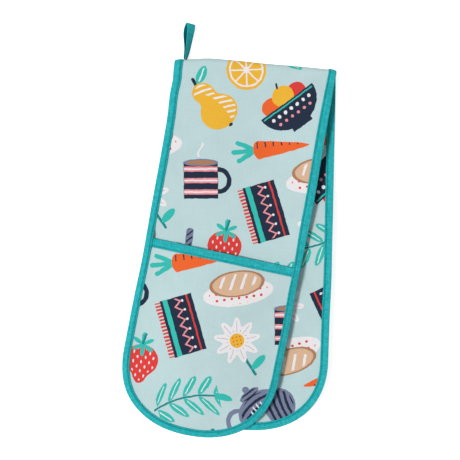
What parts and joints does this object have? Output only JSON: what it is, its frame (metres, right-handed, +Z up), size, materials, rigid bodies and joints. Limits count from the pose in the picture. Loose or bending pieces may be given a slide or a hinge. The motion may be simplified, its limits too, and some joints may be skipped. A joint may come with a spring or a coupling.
{
  "type": "double oven glove",
  "caption": "Long quilted strip with a padded hand pocket at each end and a hanging loop, folded in two and lying flat",
  "frame": {"origin": "on the table, under the middle of the glove's outline as it lies folded", "axes": "+Y from the rounded ends towards the fold, +X along the fold to the glove's right, +Z up off the table"},
  "size_m": [0.2402, 0.4836, 0.0318],
  "materials": {
    "printed_cotton": "plain-woven cotton, aqua ground with a printed kitchen pattern",
    "lining_cotton": "plain-woven cotton, undyed",
    "wadding": "needled fibre wadding",
    "tape": "teal cotton binding tape"
  },
  "bodies": {
    "back_half": {"back_outer_cloth": "printed_cotton", "back_wadding": "wadding", "back_inner_cloth": "printed_cotton", "back_pocket_cloth": "printed_cotton", "back_pocket_wadding": "wadding", "back_pocket_lining": "lining_cotton", "back_mouth_binding": "tape", "back_edge_binding": "tape", "fold_outer_cloth": "printed_cotton", "fold_wadding": "wadding", "fold_inner_cloth": "printed_cotton", "fold_left_binding": "tape", "fold_right_binding": "tape"},
    "front_half": {"front_outer_cloth": "printed_cotton", "front_wadding": "wadding", "front_inner_cloth": "printed_cotton", "front_pocket_cloth": "printed_cotton", "front_pocket_wadding": "wadding", "front_pocket_lining": "lining_cotton", "front_mouth_binding": "tape", "front_edge_binding": "tape"},
    "loop": {"hanging_loop": "tape"}
  },
  "joints": [
    {"name": "fold_open", "type": "hinge", "parent": "back_half", "child": "front_half", "pos_m": [0.0004, 0.20206, 0.0063], "axis": [-1, 0, 0], "range_deg": [0, 175], "deforming": ["fold_outer_cloth", "fold_wadding", "fold_inner_cloth", "fold_left_binding", "fold_right_binding", "hanging_loop"]},
    {"name": "loop_swing", "type": "hinge", "parent": "back_half", "child": "loop", "pos_m": [-0.08431, 0.19764, 0.0063], "axis": [0, 0, 1], "range_deg": [-60, 60]}
  ]
}
